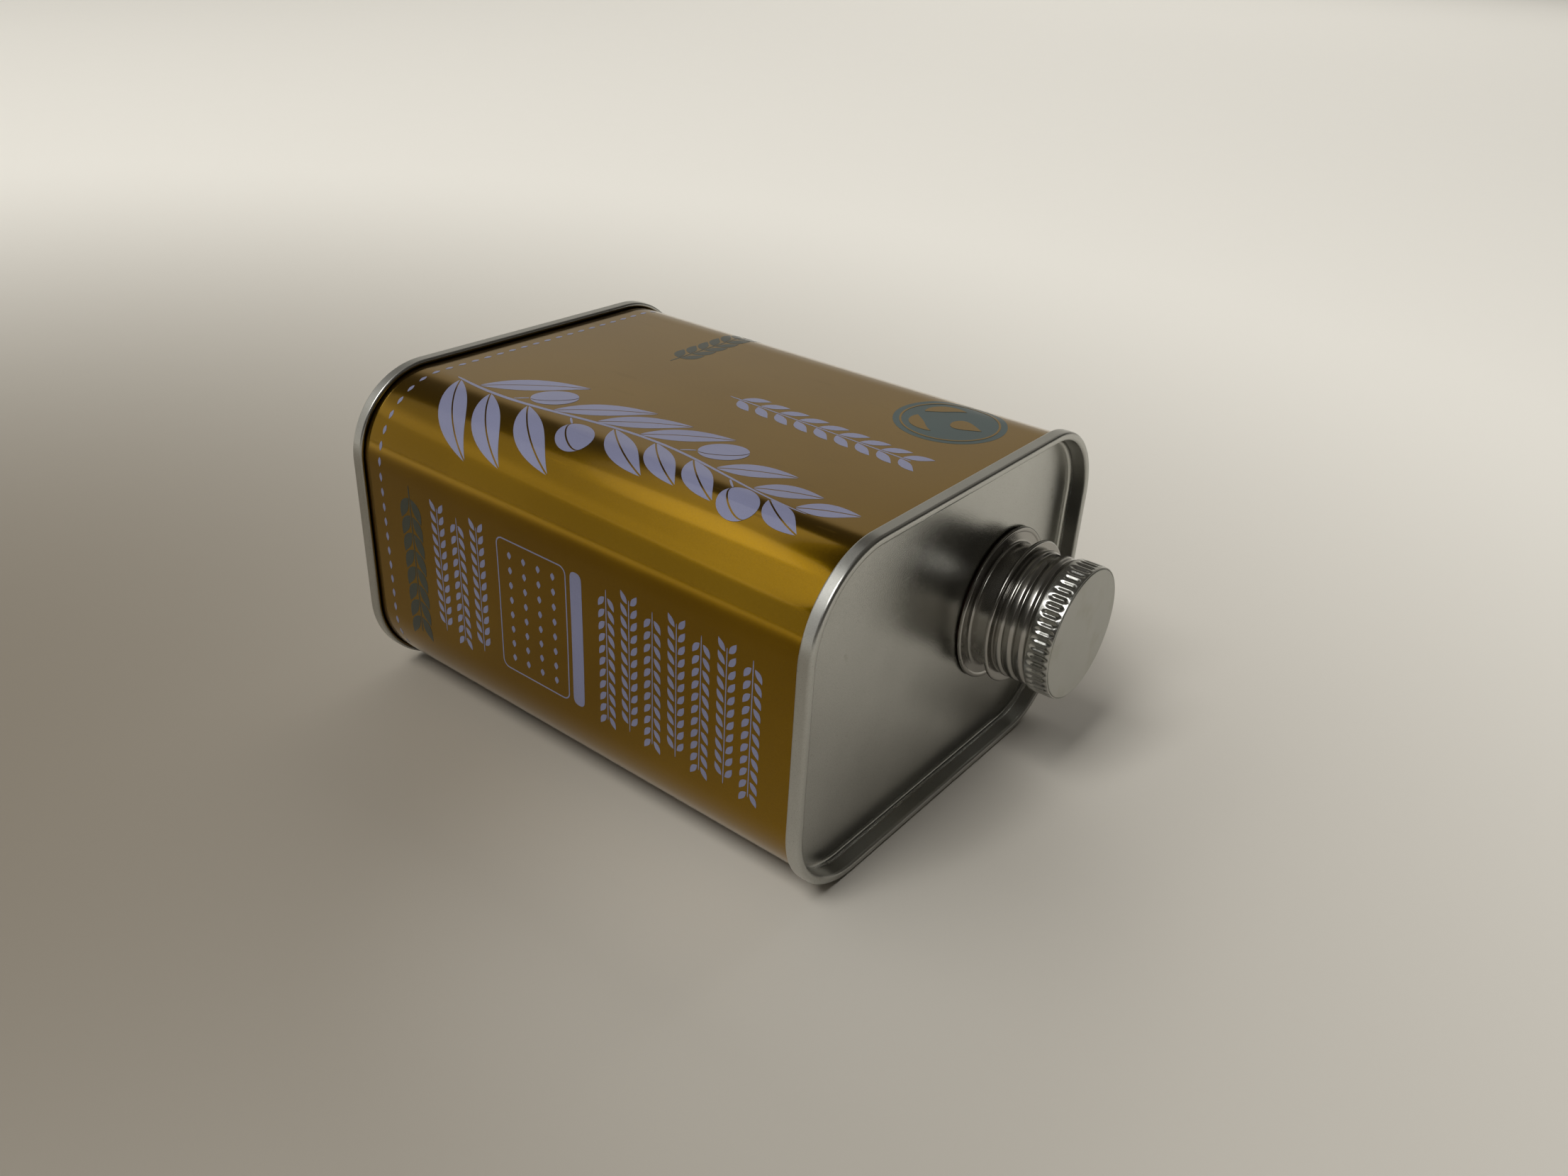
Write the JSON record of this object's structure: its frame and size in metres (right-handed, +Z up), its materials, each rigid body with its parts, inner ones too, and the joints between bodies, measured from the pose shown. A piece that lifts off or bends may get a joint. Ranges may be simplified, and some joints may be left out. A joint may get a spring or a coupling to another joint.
{
  "type": "oil tin",
  "caption": "Rectangular tinplate oil tin with double-seamed ends, an off-centre screw neck, a pouring insert and a knurled screw cap.",
  "frame": {"origin": "middle of the box on the surface that the tin lies on, as pictured: under the two double seams of its broad face", "axes": "+X along the tin's height, from its bottom towards the neck and cap; +Y across its width, towards the narrow side that the neck is near; +Z up, through its depth"},
  "size_m": [0.1238, 0.0886, 0.0646],
  "materials": {
    "printed_tinplate": "gold lacquer print, gloss",
    "end_tinplate": "satin tinplate",
    "neck_tinplate": "bright tinplate",
    "cap_tinplate": "bright tinplate, matt top",
    "seam_compound": "lining compound, matt",
    "gasket": "matt",
    "insert_plastic": "translucent polyethylene",
    "liner_foam": "foamed polyethylene"
  },
  "bodies": {
    "tin": {"body_wall": "printed_tinplate", "top_end": "end_tinplate", "bottom_end": "end_tinplate", "top_seam_compound": "seam_compound", "bottom_seam_compound": "seam_compound", "neck": "neck_tinplate", "neck_gasket": "gasket", "pour_insert": "insert_plastic"},
    "liner": {"cap_liner": "liner_foam"},
    "cap": {"cap_shell": "cap_tinplate"}
  },
  "joints": [
    {"name": "cap_rise", "type": "slide", "parent": "tin", "child": "liner", "axis": [1, 0, 0], "range_m": [0, 0.00346]},
    {"name": "cap_turn", "type": "hinge", "parent": "liner", "child": "cap", "pos_m": [0.06195, 0.02015, 0.0323], "axis": [1, 0, 0], "range_deg": [0, 540]}
  ],
  "couplings": [
    {"joint": "cap_rise", "follows": "cap_turn", "m_per_rad": 0.00036606}
  ]
}
